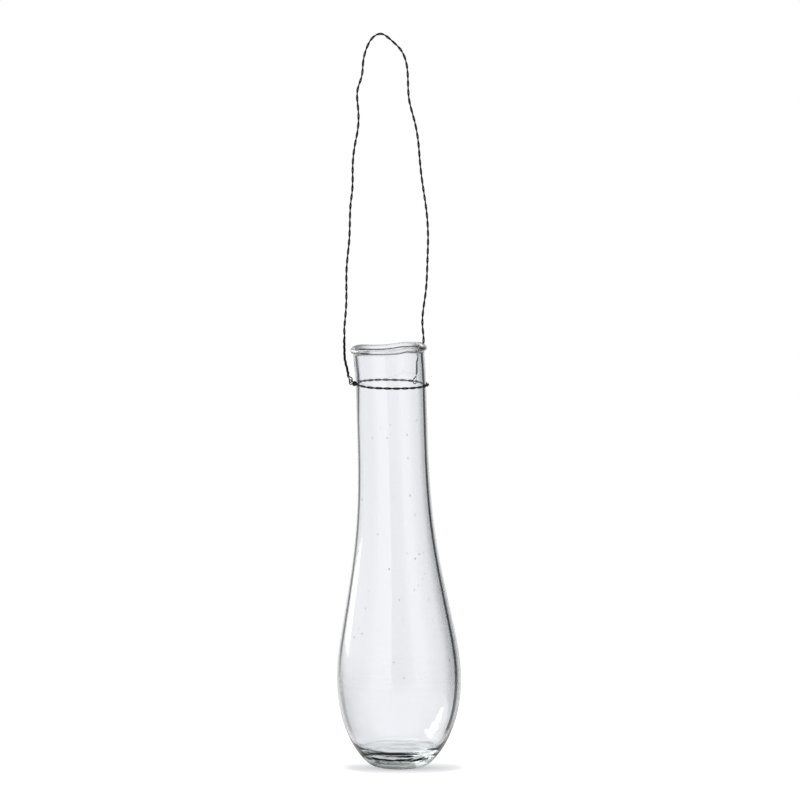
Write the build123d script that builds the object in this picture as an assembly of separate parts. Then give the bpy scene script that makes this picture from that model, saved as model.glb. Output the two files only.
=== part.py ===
"""Hanging glass drop vase: a blown vessel, a twisted wire collar on its neck and a tall wire hanger.

Millimetres. The origin is the middle of the ground foot, +Z is up, the hanger's eye is on the -X side.
"""

import os
from math import atan2, ceil, cos, degrees, pi, radians, sin, sqrt

from build123d import *

# Glass vessel
vessel_height = 260.0  # foot to the middle line of the rim bead
body_diameter = 77.4
belly_height = 54.0  # widest level
foot_diameter = 32.8  # ground flat, before its edge is eased
foot_ease = 14.0
neck_diameter = 43.6
neck_length = 60.0  # from the middle line of the rim down to where the shoulder begins
mouth_diameter = 44.2  # middle line of the rim bead
bead_diameter = 3.1
body_wall = 2.0
neck_wall = 1.25
wall_shift = 0.85  # the belly's hollow lies this far to -X, so its wall is thicker at +X
base_thickness = 11.0
well_diameter = 42.0  # flat of the inside bottom
lean_start = 72.0  # level above which the neck leans
neck_lean = 5.56  # how far the middle of the neck has moved to -X at the rim
rim_shift = 0.84  # extra shift of the flared rim to -X
rim_rise_right = 2.1  # the rim is this much higher at +X than at -X
rim_dip_back = 0.8  # and this much lower at +Y than at -Y
cut_overrun = 6.0
bead_seam_turn = 90.0  # degrees; keeps the bead's seam away from the wall's

# Twisted wire
wire_diameter = 0.73
wire_sides = 6  # of a strand's section
strand_gap = 0.06
half_lay = 5.5  # length over which the strands change sides once
wire_clearance = 0.3  # between pieces that move on each other

# Collar
collar_drop = 21.3  # from the middle line of the rim
collar_tip = 1.5  # the collar is this much higher at its back than at its front
wire_turn = 30.0  # degrees that the hanger's plane is turned from the front
eye_run = 8.0  # straight run from the neck to the middle of the eye
eye_length = 3.4  # middle line of the oval eye, along its run
eye_height = 2.84  # middle line of the oval eye, upright
eye_stand_off = 1.2  # how far the eye's run stands off the collar's circle
eye_rise = 1.4  # how far the eye is bent up above the collar
eye_ramp = 10.0  # length of collar that climbs before the eye's run
collar_sweep = 345.0  # degrees from the eye's run round to the cut end
eye_spread = 60.0  # degrees on each side over which the collar swings out to the eye
hook_spread = 40.0  # degrees on each side over which it swings out under the hook
collar_step = 15  # degrees between the points of the collar's line
eye_turns = (-150, -90, 0, 90)  # degrees round the eye, from its cut end to where it joins the collar
wrap_pitch = 1.0  # of the tail wound round the eye's run
wrap_start = 3.8  # where on the eye's run it begins
wrap_first = 45.0  # degrees at which it begins
wrap_quarters = 5

# Hanger
hanger_rise = 214.4  # collar to the top of the hanger
hook_depth = 1.62  # middle line of the right hook from the middle of the collar wire
hook_top = 4.5  # level above the collar where the hooks' arms have closed into the leg
left_tail_length = 17.0  # wound back up the left leg
right_tail_length = 9.0  # wound back up the right leg

# Bowl: shares of the turn from the edge of its flat up to the belly
bowl_shares = (0.0, 0.18, 0.36, 0.56, 0.78)
# Shoulder: share of the way up from the belly to the neck, share of the belly's extra radius that is left
shoulder_shares = (
    (0.12, 0.93),
    (0.25, 0.725),
    (0.40, 0.48),
    (0.55, 0.26),
    (0.70, 0.105),
    (0.85, 0.027),
    (1.00, 0.0),
)
# Upper neck: share of the way from the collar up to the rim, share of the flare
flare_shares = ((0.5, 0.2),)
# Hand-bent line of the hanger: share of its span from eye to hook, share of its rise
left_leg_shares = (
    (-0.063, 0.041),
    (-0.095, 0.064),
    (-0.107, 0.090),
    (-0.115, 0.159),
    (-0.099, 0.214),
    (-0.104, 0.335),
    (-0.078, 0.404),
    (-0.074, 0.470),
    (-0.067, 0.518),
    (-0.051, 0.547),
    (-0.052, 0.620),
    (-0.028, 0.680),
    (0.012, 0.728),
    (0.006, 0.788),
    (-0.007, 0.840),
    (0.050, 0.878),
    (0.066, 0.918),
    (0.124, 0.964),
)
crown_shares = ((0.213, 0.991), (0.325, 1.0), (0.446, 0.988))
right_leg_shares = (
    (0.540, 0.973),
    (0.640, 0.953),
    (0.729, 0.910),
    (0.753, 0.863),
    (0.777, 0.813),
    (0.855, 0.760),
    (0.927, 0.700),
    (0.965, 0.638),
    (1.023, 0.563),
    (1.091, 0.487),
    (1.122, 0.415),
    (1.122, 0.345),
    (1.107, 0.255),
    (1.073, 0.197),
    (1.072, 0.160),
    (1.093, 0.110),
    (1.061, 0.078),
    (1.042, 0.046),
)
eye_root_share = 0.9  # of the eye's length, from its middle back to where the strands part
end_lean_shares = (-0.042, 0.024)  # of the span, where the legs close above the eye and above the hook

# Worked out from the sizes above
neck_height = vessel_height - neck_length
collar_height = vessel_height - collar_drop
body_radius = body_diameter / 2
neck_radius = neck_diameter / 2
mouth_radius = mouth_diameter / 2
wire_radius = wire_diameter / 2
pair_coil = (wire_diameter + strand_gap) / 2
triple_coil = (wire_diameter + strand_gap) / (2 * sin(radians(60)))
lay_swell_share = 1.06  # the arcs of a strand stand out this much between the ends of its half lays
parallel_limit = 1e-9  # below this two directions count as one
pair_reach = pair_coil * lay_swell_share + wire_radius
collar_radius = neck_radius + wire_clearance + pair_reach
eye_half = eye_height / 2
eye_line = collar_radius + eye_stand_off
hook_radius = neck_radius + wire_clearance + wire_radius + hook_depth
hook_across = sqrt(hook_radius**2 - eye_run**2)
hook_angle = degrees(atan2(eye_run, hook_across))
hanger_span = sqrt((eye_line + hook_across) ** 2 + eye_rise**2)
root_run = eye_run - eye_length * eye_root_share


def lean(height):
    """Place of the vessel's middle line at a height."""
    rise = max(height - lean_start, 0)
    return -neck_lean * rise / (vessel_height - lean_start)


def ring(height, radius, shift=0):
    """Level circle round the vessel's middle line, or shifted from it to -X."""
    return Location((lean(height) - shift, 0, height)) * Circle(radius)


def bowl_rings(reach, flat_radius, flat_height, shift=0):
    """Circles of a half ellipse from a flat at the bottom up to just below the belly."""
    depth = (belly_height - flat_height) / sqrt(1 - (flat_radius / reach) ** 2)
    first = degrees(atan2(flat_radius / reach, (belly_height - flat_height) / depth))
    angles = [radians(first + (90 - first) * share) for share in bowl_shares]
    return [ring(belly_height - depth * cos(a), reach * sin(a), shift) for a in angles]


def upper_rings(body_inset, neck_inset, rim_radius, shift=0):
    """Circles from the belly over the shoulder and the neck to the tilted rim."""
    rings = [ring(belly_height, body_radius - body_inset, shift)]
    for rise, width in shoulder_shares:
        height = belly_height + (neck_height - belly_height) * rise
        radius = neck_radius + (body_radius - neck_radius) * width
        inset = neck_inset + (body_inset - neck_inset) * width
        rings.append(ring(height, radius - inset, shift * width))
    seat_radius = neck_radius - neck_inset
    rings.append(ring(collar_height, seat_radius))
    for rise, flare in flare_shares:
        height = collar_height + (vessel_height - collar_height) * rise
        rings.append(ring(height, seat_radius + (rim_radius - seat_radius) * flare))
    rings.append(rim_plane * Circle(rim_radius))
    return rings


def make_vessel():
    """Blown shell with a thick ground base and a fire-polished bead round its tilted rim."""
    wall_half = neck_wall / 2
    outer_rings = bowl_rings(body_radius, foot_diameter / 2, 0)
    outer_rings += upper_rings(0, 0, mouth_radius + wall_half)
    outer = loft(outer_rings)
    outer = fillet(outer.edges().group_by(Axis.Z)[0], foot_ease)
    hollow_rings = bowl_rings(body_radius - body_wall, well_diameter / 2, base_thickness, wall_shift)
    hollow_rings += upper_rings(body_wall, neck_wall, mouth_radius - wall_half, wall_shift)
    hollow_rings.append(rim_plane.offset(cut_overrun) * Circle(mouth_radius - wall_half))
    bead = rim_plane * Rotation(0, 0, bead_seam_turn) * Torus(mouth_radius, bead_diameter / 2)
    return outer - loft(hollow_rings) + bead


def biarc(start, end):
    """Two tangent arcs between two nodes, each a point and a direction."""
    (p, way), (q, way_out) = start, end
    chord = q - p
    both = way + way_out
    spread = 2 * (1 - way.dot(way_out))
    along = chord.dot(both)
    if spread > parallel_limit:
        reach = (sqrt(along**2 + spread * chord.dot(chord)) - along) / spread
    else:
        reach = chord.dot(chord) / (2 * along)
    near, far = p + way * reach, q - way_out * reach
    middle = (near + far) / 2
    return [TangentArc(p, middle, tangent=way), TangentArc(middle, q, tangent=(far - near).normalized())]


def wire_along(nodes):
    """One unbroken wire through a list of nodes: bent lengths that share their end outlines."""
    outline = RegularPolygon(wire_radius, wire_sides)
    point, way = nodes[0]
    section = Plane(point, z_dir=way)
    skin = [(section * outline).face()]
    for edge in [edge for pair in zip(nodes, nodes[1:]) for edge in biarc(*pair)]:
        pole = Axis(edge.arc_center, (edge @ 0 - edge.arc_center).cross(edge % 0))
        turn = degrees(edge.length / edge.radius)
        skin += Shell.revolve((section * outline).wire(), turn, pole).faces()
        section = Plane(edge @ 1, x_dir=section.x_dir.rotate(pole, turn), z_dir=edge % 1)
    skin.append((section * outline).face())
    return Solid(Shell(skin))


def lay_node(route, distance, side, angle, coil):
    """Node of a strand that winds round a route: its place and its direction at a distance along it."""
    way = route.tangent_at(distance, position_mode=PositionMode.LENGTH)
    across = (side - way * side.dot(way)).normalized()
    upward = way.cross(across)
    turn = radians(angle)
    outward = across * cos(turn) + upward * sin(turn)
    onward = upward * cos(turn) - across * sin(turn)
    point = route.position_at(distance, position_mode=PositionMode.LENGTH) + outward * coil
    return point, (way + onward * (4 * coil / half_lay)).normalized()


def turned_back(nodes):
    """The same nodes followed the other way."""
    return [(point, way * -1) for point, way in reversed(nodes)]


def bump(angle, middle, width):
    """Smooth rise from 0 to 1 and back over a width on each side of its middle."""
    away = abs(angle - middle)
    return cos(radians(90 * away / width)) ** 2 if away < width else 0


def run_point(run):
    """Point of the eye's run; below 0 it is still on the collar's circle."""
    return Vector(-eye_line, run, eye_rise * max(run + eye_ramp, 0) / (eye_run + eye_ramp))


def collar_route():
    """Middle line of the collar: from the eye's root along its run and once round the neck."""
    points = [run_point(root_run), run_point(root_run / 2)]
    for turn in range(180, 180 + int(collar_sweep) + 1, collar_step):
        stand_off = eye_stand_off * bump(turn, 180, eye_spread)
        stand_off += (hook_radius - collar_radius) * bump(turn, 360 + hook_angle, hook_spread)
        radius = collar_radius + stand_off
        climb = run_point(-radius * radians(turn - 180)).Z
        points.append(Vector(radius * cos(radians(turn)), radius * sin(radians(turn)), climb))
    return Spline(*points)


def make_collar():
    """Two strands twisted round the neck; the first makes the eye and winds its tail round its own run."""
    route = collar_route()
    side = Vector(0, 0, 1)
    count = int(route.length / half_lay)
    step = route.length / count
    strands = []
    for offset in (0, 180):
        nodes = []
        for k in range(count + 1):
            nodes.append(lay_node(route, k * step, side, 180 * k + offset, pair_coil))
        strands.append(nodes)
    eye = []
    for turn in eye_turns:
        across, upright = cos(radians(turn)), sin(radians(turn))
        spot = run_point(eye_run) + Vector(0, across * eye_length / 2, upright * eye_half)
        eye.append((spot, Vector(0, -upright * eye_length, across * eye_height).normalized()))
    wrap_coil = pair_reach + wire_radius + strand_gap
    slope = wrap_pitch / (2 * pi * wrap_coil)
    wrap = []
    for quarter in range(wrap_quarters + 1):
        turn = radians(wrap_first + 90 * quarter)
        middle = run_point(wrap_start - wrap_pitch * quarter / 4)
        spot = Vector(cos(turn), 0, sin(turn))
        onward = Vector(-sin(turn), -slope, cos(turn)).normalized()
        wrap.append((middle + spot * wrap_coil, onward))
    first = wire_along(eye + strands[0] + wrap)
    return collar_place * first, collar_place * wire_along(strands[1])


def hanger_route():
    """Middle line of the hanger in its own upright plane, from above the eye to above the hook."""
    left_lean, right_lean = end_lean_shares
    ends = ((left_lean, hook_top / hanger_rise), (1 + right_lean, hook_top / hanger_rise))
    shares = (ends[0],) + left_leg_shares + crown_shares + right_leg_shares + (ends[1],)
    return Spline(*[Vector(hanger_span * across, 0, hanger_rise * rise) for across, rise in shares])


def make_hanger():
    """Two twisted strands; each hooks round the collar at one end and is wound back up its own leg."""
    route = hanger_route()
    side = Vector(0, 1, 0)
    count = int(route.length / half_lay)
    step = route.length / count
    left_count = ceil(left_tail_length / step)
    right_count = ceil(right_tail_length / step)

    def tripled(k):
        """Share of the three-strand lay at a half lay: 1 at the wound ends, 0 along the free leg."""
        inside = max(left_count + 2 - k, right_count + 2 - (count - k), 0)
        return min(inside / 2, 1)

    def strand(offset, low, high):
        """Nodes of one strand from one half lay to another; offset counts its places from the first."""
        nodes = []
        for k in range(low, high + 1):
            share = tripled(k)
            coil = pair_coil + (triple_coil - pair_coil) * share
            angle = 90 + 180 * k + offset * (180 - 60 * share)
            nodes.append(lay_node(route, k * step, side, angle, coil))
        return nodes

    eye = Vector(0, 0, 0)
    arm = wire_diameter + wire_clearance
    left_hook = [
        (eye + Vector(-arm, 0, eye_half), Vector(0, 0, -1)),
        (eye, Vector(1, 0, 0)),
        (eye + Vector(arm, 0, eye_half), Vector(0, 0, 1)),
    ]
    left_tail = strand(2, 0, left_count)
    first = turned_back(left_tail)
    first += turned_back(left_hook)
    first += strand(0, 0, count)
    hold = Vector(hanger_span, 0, 0)
    outward = Vector(cos(radians(hook_angle)), sin(radians(hook_angle)), 0)
    right_hook = [
        (hold + outward * hook_depth, Vector(0, 0, -1)),
        (hold - Vector(0, 0, hook_depth), outward * -1),
        (hold - outward * hook_depth, Vector(0, 0, 1)),
    ]
    right_tail = strand(2, count - right_count, count)
    second = strand(1, 0, count) + right_hook + turned_back(right_tail)
    return hinge_plane * wire_along(first), hinge_plane * wire_along(second)


rim_normal = Vector(-rim_rise_right / (2 * mouth_radius), rim_dip_back / (2 * mouth_radius), 1)
rim_middle = Vector(lean(vessel_height) - rim_shift, 0, vessel_height)
rim_plane = Plane(rim_middle, x_dir=Vector(1, 0, rim_rise_right / (2 * mouth_radius)), z_dir=rim_normal)
collar_tilt = degrees(atan2(collar_tip / 2, collar_radius))
collar_place = Location((lean(collar_height), 0, collar_height))
collar_place = collar_place * Rotation(0, 0, wire_turn) * Rotation(collar_tilt, 0, 0)
eye_place = (collar_place * Location(run_point(eye_run))).position
hook_place = (collar_place * Location((hook_across, eye_run, 0))).position
hinge_way = (hook_place - eye_place).normalized()
hinge_plane = Plane(eye_place, x_dir=hinge_way, z_dir=hinge_way.cross(Vector(0, 0, 1).cross(hinge_way)))

parts = {"glass_vessel": make_vessel()}
parts["collar_strand_a"], parts["collar_strand_b"] = make_collar()
parts["hanger_strand_a"], parts["hanger_strand_b"] = make_hanger()

os.makedirs("parts", exist_ok=True)
for name, solid in parts.items():
    export_step(solid, f"parts/{name}.step")
    print(name, "volume", round(solid.volume, 2), "valid", solid.is_valid)
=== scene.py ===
import random
from math import atan2, cos, degrees, exp, pi, radians, sin

import bmesh
import bpy
from mathutils import Matrix, Vector


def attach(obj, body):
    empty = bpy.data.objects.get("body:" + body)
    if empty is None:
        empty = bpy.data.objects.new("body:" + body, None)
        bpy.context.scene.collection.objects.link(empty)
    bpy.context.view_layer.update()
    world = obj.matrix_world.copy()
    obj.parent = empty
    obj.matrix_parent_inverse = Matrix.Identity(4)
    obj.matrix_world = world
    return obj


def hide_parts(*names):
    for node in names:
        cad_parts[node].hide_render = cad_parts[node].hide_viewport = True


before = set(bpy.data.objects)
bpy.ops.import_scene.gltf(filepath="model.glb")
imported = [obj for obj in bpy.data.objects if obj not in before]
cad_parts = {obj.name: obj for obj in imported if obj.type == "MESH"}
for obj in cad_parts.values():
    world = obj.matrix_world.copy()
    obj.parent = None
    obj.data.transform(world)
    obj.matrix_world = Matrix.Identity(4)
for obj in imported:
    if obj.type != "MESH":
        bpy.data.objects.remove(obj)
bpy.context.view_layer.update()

mm = 0.001
white = (1, 1, 1, 1)
print("frame loaded:", ", ".join(sorted(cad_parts)))


# Small helpers for node trees and meshes

def grey(level):
    return (level, level, level, 1)


def setSocket(tree, socket, value):
    if isinstance(value, bpy.types.NodeSocket):
        tree.links.new(value, socket)
    else:
        socket.default_value = value


def addNode(tree, kind, inputs=None, **settings):
    node = tree.nodes.new(kind)
    for name, value in settings.items():
        setattr(node, name, value)
    for name, value in (inputs or {}).items():
        setSocket(tree, node.inputs[name], value)
    return node


def mathNode(tree, operation, first, second=0.0, clamp=False):
    node = addNode(tree, "ShaderNodeMath", {0: first, 1: second}, operation=operation, use_clamp=clamp)
    return node.outputs[0]


def times(tree, product, *others):
    for other in others:
        product = mathNode(tree, "MULTIPLY", product, other)
    return product


def vectorNode(tree, operation, first, second=(0, 0, 0)):
    node = addNode(tree, "ShaderNodeVectorMath", {0: first, 1: second}, operation=operation)
    givesNumber = operation in ("LENGTH", "DISTANCE", "DOT_PRODUCT")
    return node.outputs["Value" if givesNumber else "Vector"]


def splitAxes(tree, vector):
    return addNode(tree, "ShaderNodeSeparateXYZ", {0: vector}).outputs


def mixColour(tree, factor, first, second, blend="MIX"):
    node = addNode(tree, "ShaderNodeMix", data_type="RGBA", blend_type=blend)
    colourSockets = (0, 6, 7)  # the factor and the two colours among the node's inputs
    for place, value in zip(colourSockets, (factor, first, second)):
        setSocket(tree, node.inputs[place], value)
    return node.outputs[2]  # the mixed colour


def rangeNode(tree, value, low, high, start=0.0, end=1.0):
    inputs = {"Value": value, "From Min": low, "From Max": high, "To Min": start, "To Max": end}
    return addNode(tree, "ShaderNodeMapRange", inputs).outputs["Result"]


def rampNode(tree, value, stops):
    node = addNode(tree, "ShaderNodeValToRGB", {"Fac": value})
    ramp = node.color_ramp
    while len(ramp.elements) < len(stops):
        ramp.elements.new(1.0)
    for element, (place, colour) in zip(ramp.elements, stops):
        element.position = place
        element.color = (*colour, 1) if isinstance(colour, tuple) else grey(colour)
    return node.outputs["Color"]


def newMaterial(name):
    material = bpy.data.materials.new(name)
    material.use_nodes = True
    material.node_tree.nodes.clear()
    out = addNode(material.node_tree, "ShaderNodeOutputMaterial")
    return material, material.node_tree, out


def finishMesh(bm, name, material, smooth=True):
    mesh = bpy.data.meshes.new(name)
    bm.to_mesh(mesh)
    bm.free()
    for face in mesh.polygons:
        face.use_smooth = smooth
    mesh.materials.append(material)
    piece = bpy.data.objects.new(name, mesh)
    bpy.context.scene.collection.objects.link(piece)
    return piece


# Noise drawn out along one direction, for the cords in blown glass and the scale on drawn wire

def drawnNoiseGroup():
    group = bpy.data.node_groups.new("drawnNoise", "ShaderNodeTree")
    for name, kind in {"Stretch": "Vector", "Low": "Float", "High": "Float"}.items():
        group.interface.new_socket(name, in_out="INPUT", socket_type="NodeSocket" + kind)
    group.interface.new_socket("Mask", in_out="OUTPUT", socket_type="NodeSocketFloat")
    given = addNode(group, "NodeGroupInput").outputs
    place = addNode(group, "ShaderNodeTexCoord").outputs["Object"]
    drawn = vectorNode(group, "MULTIPLY", place, given["Stretch"])
    cloud = addNode(group, "ShaderNodeTexNoise", {"Vector": drawn, "Scale": 1.0, "Detail": 3.0})
    mask = rangeNode(group, cloud.outputs["Fac"], given["Low"], given["High"])
    addNode(group, "NodeGroupOutput", {"Mask": mask})
    return group


drawnNoise = drawnNoiseGroup()


def drawnMask(tree, stretch, low, high):
    inputs = {"Stretch": stretch, "Low": low, "High": high}
    return addNode(tree, "ShaderNodeGroup", inputs, node_tree=drawnNoise).outputs["Mask"]


# Glass vessel, in mm

vesselSet = {
    # radius and height, from the middle of the foot up the outside, over the rim and down the inside
    "foot": ((0, 0), (6, 0), (11.3, 0)),
    "bowl": (
        (14.5, 0.4), (17.5, 1.45), (21.2, 4.25), (24.0, 7.1), (26.1, 9.8), (29.5, 15.0), (33.95, 25.0),
        (37.4, 38.0), (38.7, 54.0),
    ),
    "shoulder": ((37.5, 71.5), (34.05, 90.5), (29.9, 112.4), (26.2, 134.3), (23.6, 156.2), (22.25, 178.1)),
    "neck": ((21.8, 200.0), (21.8, 222.0), (21.8, 238.7), (21.95, 249.5), (22.05, 256.6), (22.12, 258.25)),
    "rim": (
        (22.75, 258.6), (23.44, 259.2), (23.65, 260.0), (23.2, 261.1), (22.1, 261.55), (21.0, 261.1),
        (20.55, 260.0),
    ),
    "inNeck": ((20.8, 258.7), (20.95, 257.0), (20.7, 249.5), (20.55, 238.7), (20.55, 222.0), (20.55, 200.0)),
    "inShoulder": ((20.9, 178.1), (22.2, 156.2), (24.7, 134.3), (28.3, 112.4), (32.25, 90.5), (35.55, 71.5)),
    "inBowl": (
        (36.7, 54.0), (35.4, 38.0), (31.8, 25.6), (27.2, 16.2), (23.6, 12.3), (18.5, 10.1), (11.0, 9.1),
        (5.0, 9.0), (0, 9.0),
    ),
    "stepsAround": 190,
    "curveSteps": 8,
    "evenTurns": 18,  # rounds of smoothing along the outline, between the two heights below
    "evenBetween": (6.0, 240.0),
    "weld": 0.001,
    "height": 260.0,
    "lean": 5.56,  # to the left, at the full height
    "leanStart": 72.0,
    "leanBlend": 20.0,
    "wallShift": 0.85,  # the belly's hollow lies this far to the left, so the wall is thicker on the right
    "wallEven": (64.0, 190.0),  # between these heights the shift dies out
    "collarLevel": 238.7,
    "mouthRadius": 22.1,
    "rimShift": 0.84,  # the rim lies this much further to the left
    "riseRight": 2.1,
    "dipBack": 0.8,
    "rimLips": ((66, 17, 1.2), (36, 22, 1.6), (-60, 9, 0.6), (145, 32, 1.6)),  # degrees, width and rise
    "rimRipple": (5, 0.12),  # waves round the rim and their rise
    "baseSwirl": ((1.25, 0.25, 0, 0.03), (2.3, -0.35, 1, 0.02)),  # turn by y and by x, start and rise
    "swirlFade": (11.5, 15.0),
}


def vesselProfile():
    size = vesselSet
    outside = [*size["foot"], *size["bowl"], *size["shoulder"], *size["neck"]]
    inside = [*size["inNeck"], *size["inShoulder"], *size["inBowl"]]
    points = [*outside, *size["rim"], *inside]
    curve = bpy.data.curves.new("vesselProfile", "CURVE")
    curve.resolution_u = size["curveSteps"]
    spline = curve.splines.new("BEZIER")
    spline.bezier_points.add(len(points) - 1)
    for spot, (radius, height) in zip(spline.bezier_points, points):
        spot.co = (radius * mm, 0, height * mm)
        spot.handle_left_type = spot.handle_right_type = "AUTO"
    for spot in spline.bezier_points[: len(size["foot"])]:  # the ground foot stays flat
        spot.handle_left_type = spot.handle_right_type = "VECTOR"
    holder = bpy.data.objects.new("vesselProfile", curve)
    mesh = bpy.data.meshes.new_from_object(holder)
    bpy.data.objects.remove(holder)
    bpy.data.curves.remove(curve)
    rimFrom = (len(outside) - 1) * size["curveSteps"]
    insideFrom = rimFrom + len(size["rim"]) * size["curveSteps"]
    return mesh, rimFrom, insideFrom


def evenLine(bm):
    low, high = vesselSet["evenBetween"]
    line = [vert.co.copy() for vert in bm.verts]
    for turn in range(vesselSet["evenTurns"]):
        last = line[:]
        for n in range(1, len(line) - 1):
            if low < last[n].z / mm < high:
                line[n] = (last[n - 1] + 2 * last[n] + last[n + 1]) / 4
    for vert, place in zip(bm.verts, line):
        vert.co = place


def softStep(value, low, high):
    t = min(max((value - low) / (high - low), 0.0), 1.0)
    return t * t * (3 - 2 * t)


def hump(angle, middle, width):
    away = (angle - middle + 180) % 360 - 180
    return exp(-((away / width) ** 2))


def leanAt(z):
    # upright below, a straight slope above, and a parabola between them
    size = vesselSet
    rise = max(z - size["leanStart"] + size["leanBlend"], 0)
    rise = rise**2 / (4 * size["leanBlend"]) if rise < 2 * size["leanBlend"] else rise - size["leanBlend"]
    return -size["lean"] * rise / (size["height"] - size["leanStart"])


def rimRise(x, y):
    # the rim is tilted and wavy, with small lips
    size = vesselSet
    angle = degrees(atan2(y, x))
    tilt = (size["riseRight"] * x - size["dipBack"] * y) / (2 * size["mouthRadius"])
    waves, height = size["rimRipple"]
    wave = sum(rise * hump(angle, middle, width) for middle, width, rise in size["rimLips"])
    wave += height * sin(radians(waves * angle))
    return tilt + wave


def bendVessel(bm, insideLayer):
    size = vesselSet
    for vert in bm.verts:
        x, y, z = (c / mm for c in vert.co)
        inner = vert[insideLayer]
        uneven = inner * (1 - softStep(z, *size["wallEven"]))
        nearRim = softStep(z, size["collarLevel"], size["height"])
        nearBase = inner * (1 - softStep(z, *size["swirlFade"]))
        swirl = sum(rise * sin(byY * y + byX * x + start) for byY, byX, start, rise in size["baseSwirl"])
        sideways = leanAt(z) - size["wallShift"] * uneven - size["rimShift"] * nearRim
        upwards = rimRise(x, y) * nearRim + swirl * nearBase
        vert.co = Vector((x + sideways, y, z + upwards)) * mm


seedSet = {
    "count": 64,
    "seed": 7,
    "small": 0.16,
    "large": 0.46,
    "drawnOut": (1.4, 2.6),  # length to width
    "fullWall": 1.6,  # a thinner wall has smaller seeds
    "fineness": 2,
    "highest": 236.0,
}


def wallLevels():
    # height, outer radius and inner radius, from the belly up to the collar
    size = vesselSet
    outerWall = [size["bowl"][-1], *size["shoulder"], *size["neck"][:3]]
    innerWall = [*size["inNeck"][3:], *size["inShoulder"], size["inBowl"][0]][::-1]
    return [(outer[1], outer[0], inner[0]) for outer, inner in zip(outerWall, innerWall)]


def addSeeds(bm, insideLayer):
    # small bubbles drawn out upwards, within the wall
    seeds = seedSet
    draw = random.Random(seeds["seed"])
    levels = wallLevels()
    for n in range(seeds["count"]):
        z = draw.uniform(levels[0][0], seeds["highest"])
        low, high = next((a, b) for a, b in zip(levels, levels[1:]) if a[0] <= z <= b[0])
        t = (z - low[0]) / (high[0] - low[0])
        outer, inner = (low[k] + (high[k] - low[k]) * t for k in (1, 2))
        radius = (outer + inner) / 2
        size = draw.uniform(seeds["small"], seeds["large"]) * min(1, (outer - inner) / seeds["fullWall"])
        angle = draw.uniform(0, 2 * pi)
        place = Matrix.Translation(Vector((radius * cos(angle), radius * sin(angle), z)) * mm)
        shape = Matrix.Diagonal((size, size, size * draw.uniform(*seeds["drawnOut"]), 1))
        matrix = place @ shape @ Matrix.Scale(mm, 4)
        ball = bmesh.ops.create_icosphere(bm, subdivisions=seeds["fineness"], radius=1, matrix=matrix)
        for vert in ball["verts"]:
            vert[insideLayer] = 0.5  # it moves half as far as the inner wall
        faces = list({face for vert in ball["verts"] for face in vert.link_faces})
        bmesh.ops.reverse_faces(bm, faces=faces)


# Finish of the glass and its painted shade, in metres

# painted shade: the colour of the dark lines along the edges of the glass
edgeShade = (0.014, 0.021, 0.03)

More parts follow.
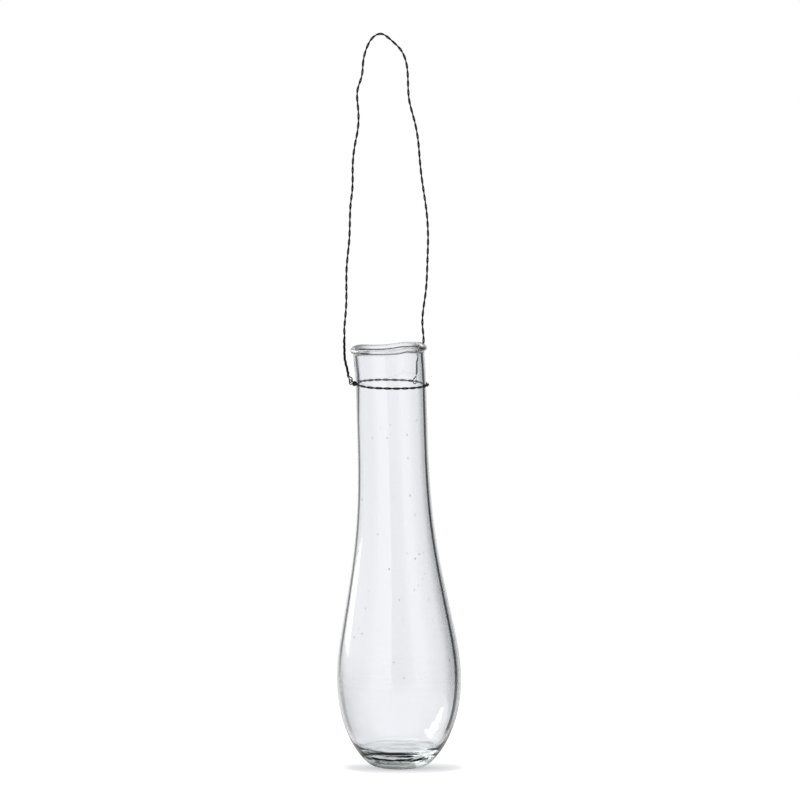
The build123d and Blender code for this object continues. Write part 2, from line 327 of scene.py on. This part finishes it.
glassSet = {
    "ior": 1.5,
    "tint": (0.938, 0.945, 0.965, 1),
    "depthColour": (0.9, 0.935, 0.92, 1),  # this and the density tint thick glass
    "depthDensity": 28.0,
    "shadowColour": (0.75, 0.76, 0.77, 1),  # what each wall leaves of the light on its way to the floor
    # painted shade, as colours by how far a wall turns away, 0 facing and 1 edge on
    "thinBody": (
        (0.0, 1.0), (0.58, 1.0), (0.66, 0.85), (0.69, edgeShade), (0.775, edgeShade), (0.82, (0.5, 0.48, 0.45)),
        (0.9, (0.72, 0.7, 0.66)), (1.0, 0.6),
    ),
    "thinNeck": (
        (0.0, 1.0), (0.56, 1.0), (0.63, 0.85), (0.66, edgeShade), (0.78, edgeShade), (0.82, (0.5, 0.48, 0.45)),
        (0.9, (0.72, 0.7, 0.66)), (1.0, 0.6),
    ),
    "thinLow": (
        (0.0, 1.0), (0.18, 1.0), (0.35, 0.82), (0.55, 0.55), (0.59, 0.2), (0.65, 0.17), (0.72, 0.5),
        (0.85, 0.75), (1.0, 0.7),
    ),
    "thickBody": (
        (0.0, 1.0), (0.18, 1.0), (0.30, 0.88), (0.364, 0.7), (0.44, 0.46), (0.55, 0.31), (0.58, 0.0016),
        (0.645, 0.0012), (0.68, (0.18, 0.2, 0.23)), (0.75, (0.33, 0.37, 0.42)), (0.9, 0.56), (1.0, 0.42),
    ),
    "thickNeck": (
        (0.0, 1.0), (0.18, 1.0), (0.30, 0.88), (0.364, 0.7), (0.44, 0.46), (0.535, 0.33), (0.56, 0.0016),
        (0.66, 0.0012), (0.69, (0.18, 0.2, 0.23)), (0.75, (0.33, 0.37, 0.42)), (0.9, 0.56), (1.0, 0.42),
    ),
    "thickLow": (
        (0.0, 1.0), (0.18, 1.0), (0.30, 0.88), (0.40, 0.7), (0.55, 0.45), (0.57, 0.0016), (0.66, 0.0012),
        (0.69, (0.22, 0.24, 0.27)), (0.80, (0.4, 0.43, 0.46)), (0.88, 0.3), (0.93, 0.05), (1.0, 0.03),
    ),
    # ranges: two values of what is read, then the two values given where they aren't 0 and 1
    "flare": (0.215, 0.245, 0.0, 0.12),  # by height, added to the turn of the thin wall
    "neckHeights": (0.10, 0.15),  # from the body's colours to the neck's
    "thinLowHeights": (0.075, 0.045),
    "thickLowHeights": (0.06, 0.03),
    "thickSide": (-0.7, 0.7),  # by the normal, from left to right
    "aboveBase": (0.012, 0.026),  # by height, where the lines begin
    # painted shade: a dark outline along the ground foot's edge, and dark streaks in the base
    "groundHeights": (0.0, 0.004),
    "ground": ((0.0, 0.03), (0.2, 0.07), (0.4, 0.45), (1.0, 1.0)),
    "groundTurn": (0.45, 0.75),
    "streakNoise": ((30, 30, 560), 0.4, 0.6),
    "streakShade": (
        (0.0, (0.3, 0.32, 0.3)), (0.25, (0.52, 0.54, 0.52)), (0.6, (0.72, 0.73, 0.71)),
        (1.0, (0.86, 0.87, 0.85)),
    ),
    "streakHeights": (0.013, 0.008),
    "offFlat": (-0.95, -0.85),  # by the normal, to spare the flat of the foot
    # relief: stretch and levels of each noise
    "cords": ((160, 160, 9), 0.3, 0.7),
    "rings": ((45, 45, 230), 0.35, 0.65),
    "ringDepth": 0.2,
    "folds": ((28, 28, 330), 0.2, 0.8),
    "foldHeights": (0.016, 0.010),
    "foldDepth": 5.0,
    "calmEdge": (0.35, 0.6, 0.08, 0.0),  # strength by turn
    "reliefDepth": 0.0004,
}

beadSet = {  # the rim's painted shade and painted light, in the same terms
    "turned": ((0.0, 0.97), (0.15, 0.92), (0.3, 0.55), (0.45, 0.22), (0.7, 0.07), (1.0, 0.03)),
    "frontHalf": (0.004, -0.004),
    "top": (0.2, 0.7, 0.0, 0.8),  # painted light on the top of the bead, by the normal, in the front half
    "topLight": (0.75, 0.77, 0.8, 1),
    "rightEnd": (0.004, 0.012, 0.0, 0.11),  # taken from the turn of the bead's length
    "lengthwise": (0.22, 0.09),
    "mottle": ((700, 700, 700), 0.35, 0.6),
    "mottleDepth": (0.0, 1.0, 1.0, 0.35),
    "leftBackWay": (-0.6, 1, 0),
    "leftBack": (0.018, 0.010),
    # painted shade, where the bead is seen along its length
    "lengthShadeColour": (0.006, 0.007, 0.009, 1),
    "underside": (-0.25, -0.7),  # painted shade under the bead, by the normal
    "undersideBack": (0.0, 1.0, 0.3, 1.0),  # weaker in the back half
    "undersideColour": (0.02, 0.025, 0.03, 1),
    "darkSpotPlace": (-0.0145, -0.018, -0.001),  # painted shade: a dark spot under the left front, placed from the middle of the mouth
    "darkSpotReach": (0.0045, 0.003),
    "darkSpotUnder": (0.15, -0.2),  # by the normal
    "darkSpotShade": (0.004, 0.004, 0.005, 1),
}


def facingNode(tree, inputs=None):
    return addNode(tree, "ShaderNodeLayerWeight", {"Blend": 0.5, **(inputs or {})}).outputs["Facing"]


def wallShade(tree, facing, height, lie):
    # painted shade: the dark line of the inner wall, seen through the outer one, drawn by how far the wall
    # turns from the eye: thin wall left, thick wall right
    look = glassSet
    flared = mathNode(tree, "ADD", facing, rangeNode(tree, height, *look["flare"]))
    neckward = rangeNode(tree, height, *look["neckHeights"])
    sides = []
    for side, turned in (("thin", flared), ("thick", facing)):
        body, neck = (rampNode(tree, turned, look[side + part]) for part in ("Body", "Neck"))
        low = rampNode(tree, facing, look[side + "Low"])
        upper = mixColour(tree, neckward, body, neck)
        sides.append(mixColour(tree, rangeNode(tree, height, *look[side + "LowHeights"]), upper, low))
    return mixColour(tree, rangeNode(tree, lie["X"], *look["thickSide"]), *sides)


def beadShade(tree, facing, place, lie):
    bead = beadSet
    # painted shade by how far the bead turns from the eye, and painted light on its top
    tint = rampNode(tree, facing, bead["turned"])
    middle = (-vesselSet["lean"] - vesselSet["rimShift"], 0, vesselSet["height"])
    fromMouth = vectorNode(tree, "SUBTRACT", place, Vector(middle) * mm)
    mouth = splitAxes(tree, fromMouth)
    frontHalf = rangeNode(tree, mouth["Y"], *bead["frontHalf"])
    top = times(tree, rangeNode(tree, lie["Z"], *bead["top"]), frontHalf)
    tint = mixColour(tree, top, tint, bead["topLight"])
    # painted shade: seen along the bead its glass looks deep and dark, most at the right and not at the left
    # back
    along = vectorNode(tree, "NORMALIZE", vectorNode(tree, "CROSS_PRODUCT", fromMouth, (0, 0, 1)))
    rightEnd = rangeNode(tree, mouth["X"], *bead["rightEnd"])
    lengthwise = mathNode(tree, "SUBTRACT", facingNode(tree, {"Normal": along}), rightEnd)
    mottle = rangeNode(tree, drawnMask(tree, *bead["mottle"]), *bead["mottleDepth"])
    leftBack = vectorNode(tree, "DOT_PRODUCT", fromMouth, bead["leftBackWay"])
    leftBack = rangeNode(tree, leftBack, *bead["leftBack"])
    lengthShade = times(tree, rangeNode(tree, lengthwise, *bead["lengthwise"]), mottle, leftBack)
    tint = mixColour(tree, lengthShade, tint, bead["lengthShadeColour"])
    # painted shade under the bead, weaker in the back half
    underside = rangeNode(tree, lie["Z"], *bead["underside"])
    underside = times(tree, underside, rangeNode(tree, frontHalf, *bead["undersideBack"]))
    tint = mixColour(tree, underside, tint, bead["undersideColour"])
    # painted shade: a dark spot under the left front of the rim
    drop = rangeNode(tree, vectorNode(tree, "DISTANCE", fromMouth, bead["darkSpotPlace"]), *bead["darkSpotReach"])
    drop = times(tree, drop, rangeNode(tree, lie["Z"], *bead["darkSpotUnder"]))
    return mixColour(tree, drop, tint, bead["darkSpotShade"])


def baseShade(tree, tint, facing, height, lie, outside):
    look = glassSet
    # painted shade: a dark outline where the foot, near the floor, turns edge on
    ground = rampNode(tree, rangeNode(tree, height, *look["groundHeights"]), look["ground"])
    ground = mixColour(tree, 1.0, tint, ground, "MULTIPLY")
    tint = mixColour(tree, rangeNode(tree, facing, *look["groundTurn"]), tint, ground)
    # painted shade: dark, slightly green streaks low in the base, standing in for its refraction
    streakShade = rampNode(tree, drawnMask(tree, *look["streakNoise"]), look["streakShade"])
    streakShade = mixColour(tree, 1.0, tint, streakShade, "MULTIPLY")
    low = times(tree, rangeNode(tree, height, *look["streakHeights"]), outside)
    low = times(tree, low, rangeNode(tree, lie["Z"], *look["offFlat"]))
    return mixColour(tree, low, tint, streakShade)


def glassRelief(tree, facing, height):
    look = glassSet
    rings = times(tree, drawnMask(tree, *look["rings"]), look["ringDepth"])
    lowDown = rangeNode(tree, height, *look["foldHeights"])
    folds = times(tree, drawnMask(tree, *look["folds"]), lowDown, look["foldDepth"])
    relief = mathNode(tree, "ADD", mathNode(tree, "ADD", drawnMask(tree, *look["cords"]), rings), folds)
    strength = rangeNode(tree, facing, *look["calmEdge"])
    bump = {"Strength": strength, "Distance": look["reliefDepth"], "Height": relief}
    return addNode(tree, "ShaderNodeBump", bump).outputs[0]


def blownGlass():
    look = glassSet
    material, tree, out = newMaterial("blownGlass")
    spot = addNode(tree, "ShaderNodeTexCoord").outputs
    height = splitAxes(tree, spot["Object"])["Z"]
    lie = splitAxes(tree, spot["Normal"])
    facing = facingNode(tree)
    inside, onRim = (addNode(tree, "ShaderNodeAttribute", attribute_name=name) for name in ("inside", "rim"))
    outside = mathNode(tree, "SUBTRACT", 1.0, inside.outputs["Fac"])
    shown = times(tree, rangeNode(tree, height, *look["aboveBase"]), outside)
    # painted shade: dark lines along the walls, then the rim's painted shade and light, then the base's
    # painted shade
    tint = mixColour(tree, shown, white, wallShade(tree, facing, height, lie))
    tint = mixColour(tree, onRim.outputs["Fac"], tint, beadShade(tree, facing, spot["Object"], lie))
    tint = baseShade(tree, tint, facing, height, lie, outside)
    glass = addNode(tree, "ShaderNodeBsdfPrincipled", {
        "Base Color": mixColour(tree, 1.0, tint, look["tint"], "MULTIPLY"),
        "Roughness": 0.0,
        "IOR": look["ior"],
        "Transmission Weight": 1.0,
        "Normal": glassRelief(tree, facing, height),
    })
    # light passes through it to the floor, so it throws a pale shadow
    clear = addNode(tree, "ShaderNodeBsdfTransparent", {"Color": look["shadowColour"]})
    path = addNode(tree, "ShaderNodeLightPath").outputs
    passes = mathNode(tree, "MAXIMUM", path["Is Shadow Ray"], path["Is Diffuse Ray"])
    mix = addNode(tree, "ShaderNodeMixShader", {0: passes, 1: glass.outputs[0], 2: clear.outputs[0]})
    tree.links.new(mix.outputs[0], out.inputs["Surface"])
    depth = {"Color": look["depthColour"], "Density": look["depthDensity"]}
    depth = addNode(tree, "ShaderNodeVolumeAbsorption", depth)
    tree.links.new(depth.outputs[0], out.inputs["Volume"])
    return material


def makeVessel():
    mesh, rimFrom, insideFrom = vesselProfile()
    bm = bmesh.new()
    bm.from_mesh(mesh)
    bpy.data.meshes.remove(mesh)
    rimLayer, insideLayer = (bm.verts.layers.float.new(name) for name in ("rim", "inside"))
    bm.verts.ensure_lookup_table()
    evenLine(bm)
    for vert in bm.verts[rimFrom:insideFrom]:
        vert[rimLayer] = 1.0
    for vert in bm.verts[insideFrom:]:
        vert[insideLayer] = 1.0
    bmesh.ops.spin(
        bm, geom=bm.verts[:] + bm.edges[:], cent=(0, 0, 0), axis=(0, 0, 1), angle=2 * pi,
        steps=vesselSet["stepsAround"], use_merge=True,
    )
    bmesh.ops.remove_doubles(bm, verts=bm.verts[:], dist=vesselSet["weld"] * mm)
    bmesh.ops.recalc_face_normals(bm, faces=bm.faces[:])
    addSeeds(bm, insideLayer)
    bendVessel(bm, insideLayer)
    piece = finishMesh(bm, "blown_vessel", blownGlass())
    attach(piece, "vessel")
    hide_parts("glass_vessel")
    print("vessel:", len(piece.data.polygons), "faces")


makeVessel()


# Twisted wires, in mm

wireSet = {
    "strands": {
        "collar_strand_a": "collar", "collar_strand_b": "collar",
        "hanger_strand_a": "hanger", "hanger_strand_b": "hanger",
    },
    "weld": 0.002,
    "swell": 0.078,  # the section grows by this before it is rounded
    "rounding": 2,
    "quads": {"angle_face_threshold": radians(40), "angle_shape_threshold": radians(60)},
    "scale": ((900, 900, 500), 0.35, 0.65),
    "colours": (grey(0.002), (0.009, 0.008, 0.008, 1)),
    "roughness": (0.5, 0.7),
    "specular": 0.14,
}


def annealedWire():
    material, tree, out = newMaterial("annealedWire")
    scale = drawnMask(tree, *wireSet["scale"])
    wire = addNode(tree, "ShaderNodeBsdfPrincipled", {
        "Base Color": mixColour(tree, scale, *wireSet["colours"]),
        "Roughness": rangeNode(tree, scale, 0.0, 1.0, *wireSet["roughness"]),
        "Specular IOR Level": wireSet["specular"],
    })
    tree.links.new(wire.outputs[0], out.inputs["Surface"])
    return material


def makeWires():
    material = annealedWire()
    for node, body in wireSet["strands"].items():
        bm = bmesh.new()
        bm.from_mesh(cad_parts[node].data)
        bmesh.ops.remove_doubles(bm, verts=bm.verts[:], dist=wireSet["weld"] * mm)
        bmesh.ops.join_triangles(bm, faces=bm.faces[:], **wireSet["quads"])
        bm.normal_update()
        for vert in bm.verts:
            vert.co += vert.normal * wireSet["swell"] * mm
        piece = finishMesh(bm, node.replace("strand", "wire"), material)
        smooth = piece.modifiers.new("rounding", "SUBSURF")
        smooth.levels = smooth.render_levels = wireSet["rounding"]
        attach(piece, body)
        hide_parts(node)
        print("wire:", piece.name, len(piece.data.polygons), "faces")


makeWires()


# Floor, in metres

floorSet = {
    "radius": 0.5,
    "sides": 96,
    "drop": 0.0001,
    "fade": (0.12, 0.45),  # to clear, by distance
    "colour": grey(0.8),
    "glow": 0.27,
    "shadowMiddle": (0.002, -0.007, 0),
    "shadowShape": (0.35, 1.0, 0),  # longer from side to side
    "shadowReach": (0.004, 0.022, 0.0, 0.42),  # extra light to the camera, away from the shadow
    "throughGlass": (0.06, 0.03, 0.0, 0.42),  # extra light seen through the glass, by distance
    "contactColour": grey(0.05),
    "contactReach": (0.034, 0.022),  # by distance
}

highlightSet = {  # painted highlight: a narrow white glowing patch on the floor to the right of the vase, seen only in the glass's mirror
    "ends": (0.04, 0.145),
    "endFade": 0.006,
    "middle": (0.079, -0.030),
    "slope": 0.15,
    "half": (0.010, 0.0085),
    "uneven": ((110, 60, 0), 0.3, 0.7),
    "unevenReach": (0.0, 1.0, -0.006, 0.006),
    "glow": 5.0,
}


def highlightMask(tree, place):
    highlight = highlightSet
    spot = splitAxes(tree, place)
    run, across = (mathNode(tree, "SUBTRACT", spot[axis], highlight["middle"][axis]) for axis in (0, 1))
    across = mathNode(tree, "SUBTRACT", across, times(tree, run, highlight["slope"]))
    uneven = rangeNode(tree, drawnMask(tree, *highlight["uneven"]), *highlight["unevenReach"])
    across = mathNode(tree, "ABSOLUTE", mathNode(tree, "ADD", across, uneven))
    first, last = highlight["ends"]
    begins = rangeNode(tree, spot["X"], first, first + highlight["endFade"])
    stops = rangeNode(tree, spot["X"], last, last - highlight["endFade"])
    return times(tree, rangeNode(tree, across, *highlight["half"]), begins, stops)


def paleFloor():
    floor = floorSet
    material, tree, out = newMaterial("paleFloor")
    path = addNode(tree, "ShaderNodeLightPath").outputs
    place = addNode(tree, "ShaderNodeTexCoord").outputs["Object"]
    away = vectorNode(tree, "LENGTH", place)
    fromShadow = vectorNode(tree, "SUBTRACT", place, floor["shadowMiddle"])
    fromShadow = vectorNode(tree, "LENGTH", vectorNode(tree, "MULTIPLY", fromShadow, floor["shadowShape"]))
    # painted light: white to the camera but for the shadow, whose outline this painted light trims to an
    # oval, and a painted pool of light under the glass
    toCamera = times(tree, path["Is Camera Ray"], rangeNode(tree, fromShadow, *floor["shadowReach"]))
    through = times(tree, path["Is Transmission Ray"], rangeNode(tree, away, *floor["throughGlass"]))
    strength = mathNode(tree, "ADD", mathNode(tree, "ADD", toCamera, through), floor["glow"])
    strength = times(tree, strength, mathNode(tree, "SUBTRACT", 1.0, path["Is Diffuse Ray"]))
    glow = addNode(tree, "ShaderNodeEmission", {"Color": white, "Strength": strength})
    matt = addNode(tree, "ShaderNodeBsdfDiffuse", {"Color": floor["colour"]})
    lit = addNode(tree, "ShaderNodeAddShader", {0: glow.outputs[0], 1: matt.outputs[0]})
    # painted highlight and painted shade: only the mirror in the glass shows the glowing patch, and the dark
    # where the foot meets the floor
    mirrored = mathNode(tree, "SUBTRACT", path["Is Glossy Ray"], path["Is Transmission Ray"], clamp=True)
    highlightGlow = times(tree, highlightMask(tree, place), mirrored, highlightSet["glow"])
    highlight = addNode(tree, "ShaderNodeEmission", {"Color": white, "Strength": highlightGlow})
    lit = addNode(tree, "ShaderNodeAddShader", {0: lit.outputs[0], 1: highlight.outputs[0]})
    # painted shade: a dark floor patch where the foot stands, seen only in the glass's mirror
    dark = addNode(tree, "ShaderNodeBsdfDiffuse", {"Color": floor["contactColour"]})
    contact = times(tree, mirrored, rangeNode(tree, away, *floor["contactReach"]))
    seen = addNode(tree, "ShaderNodeMixShader", {0: contact, 1: lit.outputs[0], 2: dark.outputs[0]})
    clear = addNode(tree, "ShaderNodeBsdfTransparent")
    fade = rangeNode(tree, away, *floor["fade"])
    mix = addNode(tree, "ShaderNodeMixShader", {0: fade, 1: seen.outputs[0], 2: clear.outputs[0]})
    tree.links.new(mix.outputs[0], out.inputs["Surface"])
    return material


def makeFloor():
    bm = bmesh.new()
    bmesh.ops.create_circle(bm, cap_ends=True, segments=floorSet["sides"], radius=floorSet["radius"])
    bmesh.ops.translate(bm, verts=bm.verts[:], vec=(0, 0, -floorSet["drop"]))
    floor = finishMesh(bm, "floor", paleFloor(), smooth=False)


# The room that the glass mirrors

skySet = {
    "level": grey(0.3),  # light on matt surfaces
    "pale": grey(0.95),
    # brightness by turn: 0.25 is left, 0.5 behind the vase, 0.75 right, 0 and 1 the camera's side
    "round": (
        (0.0, 0.0), (0.033, 0.0), (0.04, 1.0), (0.125, 0.85), (0.15, 0.6), (0.32, 0.95), (0.36, 0.7),
        (0.41, 0.6), (0.44, 1.0), (0.565, 1.0), (0.60, 0.35), (0.66, 0.35), (0.70, 0.4), (0.80, 0.4),
        (0.86, 0.8), (0.91, 0.8), (0.95, 0.1), (1.0, 0.0),
    ),
    # brightness by height, from level to straight up
    "upward": ((0.0, 1.0), (0.25, 1.0), (0.42, 0.4), (0.8, 0.4), (0.95, 1.0)),
    "floorward": (-0.03, -0.35),
    "behind": 0.5,
    "front": (0.3, 0.36),  # turn away from behind
    "frontGain": grey(1.9),
    "frontThrough": 0.85,
    # softbox behind on the left: its edges by turn and by height, and its brightness
    "boxLeft": (0.31, 0.318),
    "boxRight": (0.45, 0.44),
    "boxFoot": (-0.022, -0.012),
    "boxMirrored": grey(4.0),
    "boxThrough": grey(2.4),
}


def makeWorld():
    sky = skySet
    world = bpy.data.worlds.new("studio")
    bpy.context.scene.world = world
    world.use_nodes = True
    tree = world.node_tree
    tree.nodes.clear()
    way = splitAxes(tree, addNode(tree, "ShaderNodeTexCoord").outputs["Generated"])
    turn = rangeNode(tree, mathNode(tree, "ARCTAN2", way["X"], way["Y"]), -pi, pi)
    level = rampNode(tree, turn, sky["round"])
    level = mixColour(tree, rangeNode(tree, way["Z"], *sky["floorward"]), level, sky["pale"])
    level = mixColour(tree, 1.0, level, rampNode(tree, way["Z"], sky["upward"]), "MULTIPLY")
    # the camera's side: strong stripes in the mirror of the outside, faint ones through the glass
    fromBehind = mathNode(tree, "ABSOLUTE", mathNode(tree, "SUBTRACT", turn, sky["behind"]))
    front = rangeNode(tree, fromBehind, *sky["front"])
    through = mixColour(tree, times(tree, front, sky["frontThrough"]), level, sky["pale"])
    mirrored = mixColour(tree, 1.0, level, mixColour(tree, front, white, sky["frontGain"]), "MULTIPLY")
    # the softbox behind on the left, whose lower edge the shoulder mirrors
    box = times(tree, rangeNode(tree, turn, *sky["boxLeft"]), rangeNode(tree, turn, *sky["boxRight"]))
    box = times(tree, box, rangeNode(tree, way["Z"], *sky["boxFoot"]))
    mirrored = mixColour(tree, box, mirrored, sky["boxMirrored"])
    through = mixColour(tree, box, through, sky["boxThrough"])
    path = addNode(tree, "ShaderNodeLightPath").outputs
    seen = mixColour(tree, path["Is Glossy Ray"], sky["level"], mirrored)
    seen = mixColour(tree, path["Is Transmission Ray"], seen, through)
    seen = mixColour(tree, path["Is Camera Ray"], seen, white)
    light = addNode(tree, "ShaderNodeBackground", {"Color": seen, "Strength": 1.0})
    out = addNode(tree, "ShaderNodeOutputWorld")
    tree.links.new(light.outputs[0], out.inputs["Surface"])


# Lamps and camera

lampSet = {
    "overhead": {"place": (-0.08, -0.04, 1.3), "aim": (0, 0, 0), "size": (0.35, 0.35), "power": 10.8},
    "leftFill": {"place": (-1.0, -0.8, 0.7), "aim": (0, 0, 0.2), "size": (0.4, 0.8), "power": 1.0},
}

cameraSet = {
    "place": (0.0006, -2.9857, 0.5216),
    "aim": (0.0006, 0, 0.2288),
    "lens": 218.6,
    "sensor": 36,
    "farthest": 50,
}


def addAimed(name, data, place, aim):
    holder = bpy.data.objects.new(name, data)
    holder.location = place
    holder.rotation_euler = (Vector(aim) - Vector(place)).to_track_quat("-Z", "Y").to_euler()
    bpy.context.scene.collection.objects.link(holder)
    return holder


def makeLamps():
    for name, lamp in lampSet.items():
        light = bpy.data.lights.new(name, "AREA")
        light.shape = "RECTANGLE"
        light.size, light.size_y = lamp["size"]
        light.energy = lamp["power"]
        holder = addAimed(name, light, lamp["place"], lamp["aim"])
        holder.visible_camera = holder.visible_transmission = holder.visible_glossy = False


def makeCamera():
    camera = bpy.data.cameras.new("camera")
    camera.lens = cameraSet["lens"]
    camera.sensor_width = cameraSet["sensor"]
    camera.clip_end = cameraSet["farthest"]
    bpy.context.scene.camera = addAimed("camera", camera, cameraSet["place"], cameraSet["aim"])


makeFloor()
makeWorld()
makeLamps()
makeCamera()
bpy.context.scene.view_settings.view_transform = "Standard"
print("studio ready")
